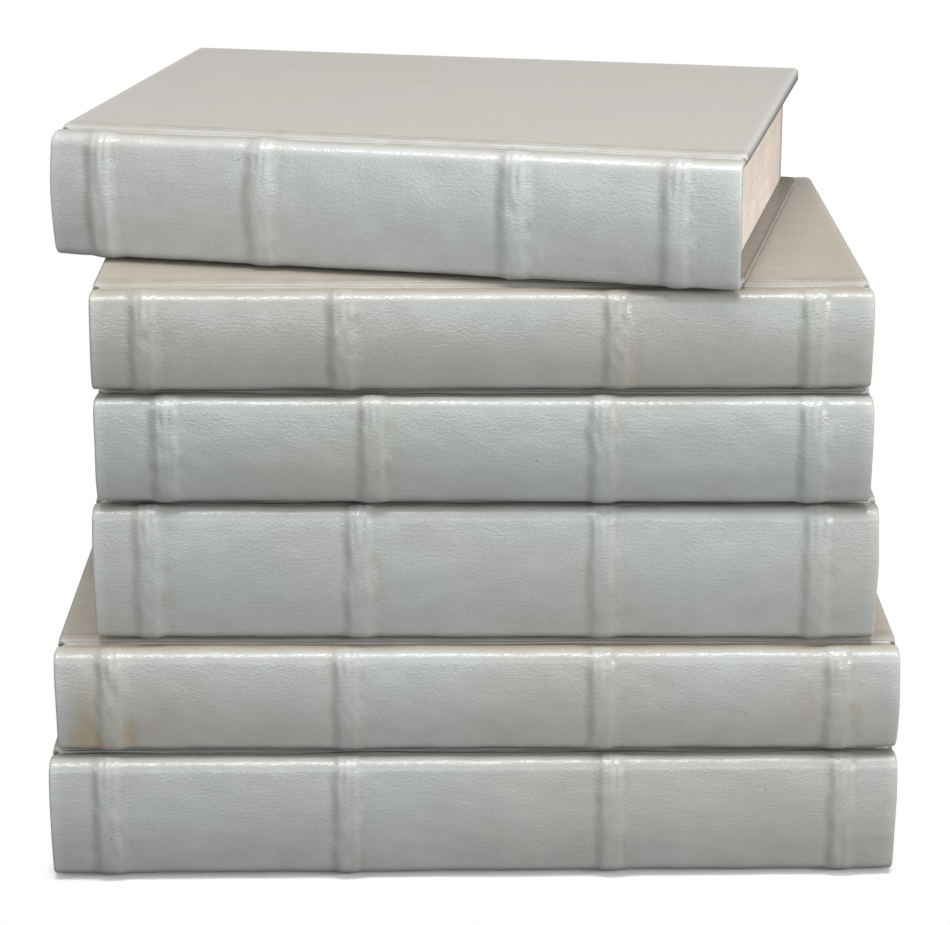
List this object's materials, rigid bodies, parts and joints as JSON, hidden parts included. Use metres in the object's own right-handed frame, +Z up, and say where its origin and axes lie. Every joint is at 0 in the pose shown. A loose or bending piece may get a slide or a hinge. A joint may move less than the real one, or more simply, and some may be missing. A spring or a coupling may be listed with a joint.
{
  "type": "stack of books",
  "caption": "Stack of grey leather-bound hardbacks with raised bands across their spines, lying flat, the top one turned, with a cover that opens.",
  "frame": {"origin": "on the floor under the middle of the bottom book", "axes": "+X along the spines, to the right as seen from the spines; +Y from the spines to the fore-edges; +Z up"},
  "size_m": [0.2865, 0.225, 0.2435],
  "materials": {
    "leather_book1": "grey glazed leather, fine grain, lightly worn",
    "leather_book2": "grey glazed leather, fine grain, lightly worn",
    "leather_book3": "grey glazed leather, fine grain, lightly worn",
    "leather_book4": "grey glazed leather, fine grain, lightly worn",
    "leather_book5": "grey glazed leather, fine grain, lightly worn",
    "leather_book6": "grey glazed leather, fine grain, lightly worn",
    "pages": "cut page edges, cream",
    "pastedown": "smooth endpaper",
    "board": "dense grey board",
    "card": "thin card",
    "thread": "sewn endband"
  },
  "bodies": {
    "stack": {"book1_text_block": "pages", "book1_upper_board": "board", "book1_lower_board": "board", "book1_spine_inlay": "card", "book1_raised_bands": "card", "book1_endbands": "thread", "book1_upper_pastedown": "pastedown", "book1_lower_pastedown": "pastedown", "book1_leather_cover": "leather_book1", "book2_text_block": "pages", "book2_upper_board": "board", "book2_lower_board": "board", "book2_spine_inlay": "card", "book2_raised_bands": "card", "book2_endbands": "thread", "book2_upper_pastedown": "pastedown", "book2_lower_pastedown": "pastedown", "book2_leather_cover": "leather_book2", "book3_text_block": "pages", "book3_upper_board": "board", "book3_lower_board": "board", "book3_spine_inlay": "card", "book3_raised_bands": "card", "book3_endbands": "thread", "book3_upper_pastedown": "pastedown", "book3_lower_pastedown": "pastedown", "book3_leather_cover": "leather_book3", "book4_text_block": "pages", "book4_upper_board": "board", "book4_lower_board": "board", "book4_spine_inlay": "card", "book4_raised_bands": "card", "book4_endbands": "thread", "book4_upper_pastedown": "pastedown", "book4_lower_pastedown": "pastedown", "book4_leather_cover": "leather_book4", "book5_text_block": "pages", "book5_upper_board": "board", "book5_lower_board": "board", "book5_spine_inlay": "card", "book5_raised_bands": "card", "book5_endbands": "thread", "book5_upper_pastedown": "pastedown", "book5_lower_pastedown": "pastedown", "book5_leather_cover": "leather_book5", "book6_text_block": "pages", "book6_lower_board": "board", "book6_spine_inlay": "card", "book6_raised_bands": "card", "book6_endbands": "thread", "book6_lower_pastedown": "pastedown", "book6_leather_cover": "leather_book6"},
    "top_cover": {"book6_upper_board": "board", "book6_upper_pastedown": "pastedown", "book6_top_cover_leather": "leather_book6"}
  },
  "joints": [
    {"name": "top_cover_hinge", "type": "hinge", "parent": "stack", "child": "top_cover", "pos_m": [-0.0254, -0.04468, 0.2435], "axis": [0.977, -0.213, 0], "range_deg": [0, 180]}
  ]
}
